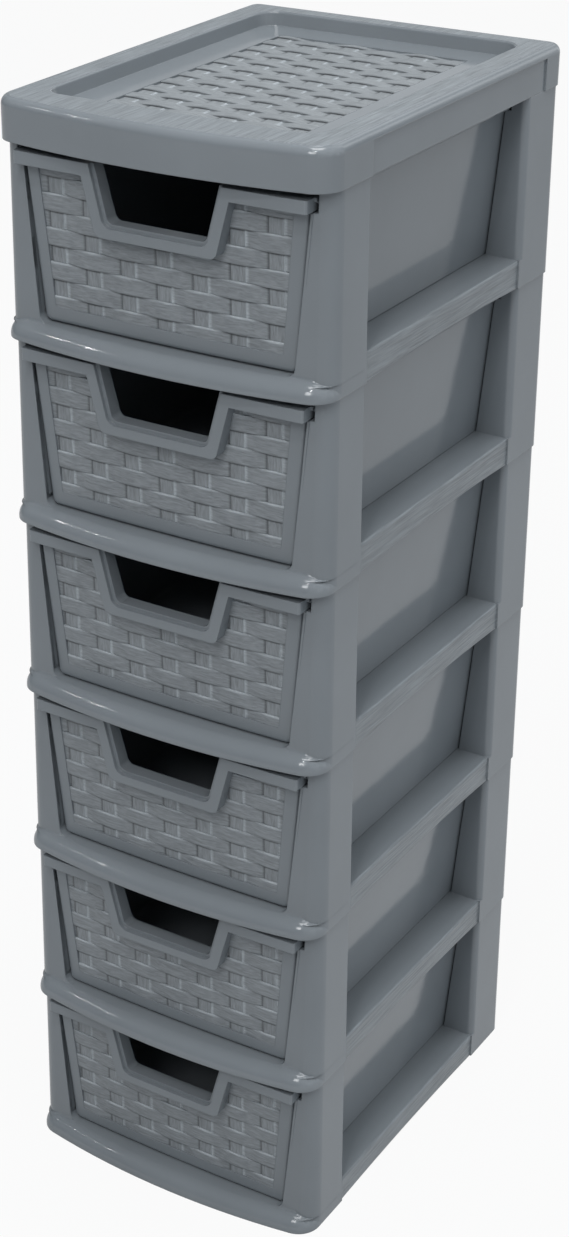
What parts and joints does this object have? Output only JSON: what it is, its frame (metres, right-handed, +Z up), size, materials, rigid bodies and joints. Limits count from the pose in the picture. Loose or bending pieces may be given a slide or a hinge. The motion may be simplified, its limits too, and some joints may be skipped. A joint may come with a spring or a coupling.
{
  "type": "drawer tower",
  "caption": "Tall narrow plastic drawer tower with a bow front, open sides, woven-look drawers with cut-out handles, and a lid with a sunken tray.",
  "frame": {"origin": "middle of the footprint, on the floor", "axes": "+Z up; the drawers open towards -Y; +X to the right for a person looking along +Y at the drawer fronts"},
  "size_m": [0.203, 0.268, 0.6708],
  "materials": {
    "frame_plastic": "slate grey moulded polypropylene, glossy, with drawn brush grain on the side strips",
    "drawer_plastic": "slate grey moulded polypropylene, glossy sides and a woven relief with fine grain on the front",
    "lid_plastic": "slate grey moulded polypropylene, glossy skirt, grained top with a woven relief in the tray"
  },
  "bodies": {
    "tower": {"lid": "lid_plastic", "frame_1": "frame_plastic", "frame_2": "frame_plastic", "frame_3": "frame_plastic", "frame_4": "frame_plastic", "frame_5": "frame_plastic", "frame_6": "frame_plastic"},
    "drawer_1_body": {"drawer_1": "drawer_plastic"},
    "drawer_2_body": {"drawer_2": "drawer_plastic"},
    "drawer_3_body": {"drawer_3": "drawer_plastic"},
    "drawer_4_body": {"drawer_4": "drawer_plastic"},
    "drawer_5_body": {"drawer_5": "drawer_plastic"},
    "drawer_6_body": {"drawer_6": "drawer_plastic"}
  },
  "joints": [
    {"name": "drawer_1_slide", "type": "slide", "parent": "tower", "child": "drawer_1_body", "axis": [0, -1, 0], "range_m": [0, 0.19]},
    {"name": "drawer_2_slide", "type": "slide", "parent": "tower", "child": "drawer_2_body", "axis": [0, -1, 0], "range_m": [0, 0.19]},
    {"name": "drawer_3_slide", "type": "slide", "parent": "tower", "child": "drawer_3_body", "axis": [0, -1, 0], "range_m": [0, 0.19]},
    {"name": "drawer_4_slide", "type": "slide", "parent": "tower", "child": "drawer_4_body", "axis": [0, -1, 0], "range_m": [0, 0.19]},
    {"name": "drawer_5_slide", "type": "slide", "parent": "tower", "child": "drawer_5_body", "axis": [0, -1, 0], "range_m": [0, 0.19]},
    {"name": "drawer_6_slide", "type": "slide", "parent": "tower", "child": "drawer_6_body", "axis": [0, -1, 0], "range_m": [0, 0.19]}
  ]
}
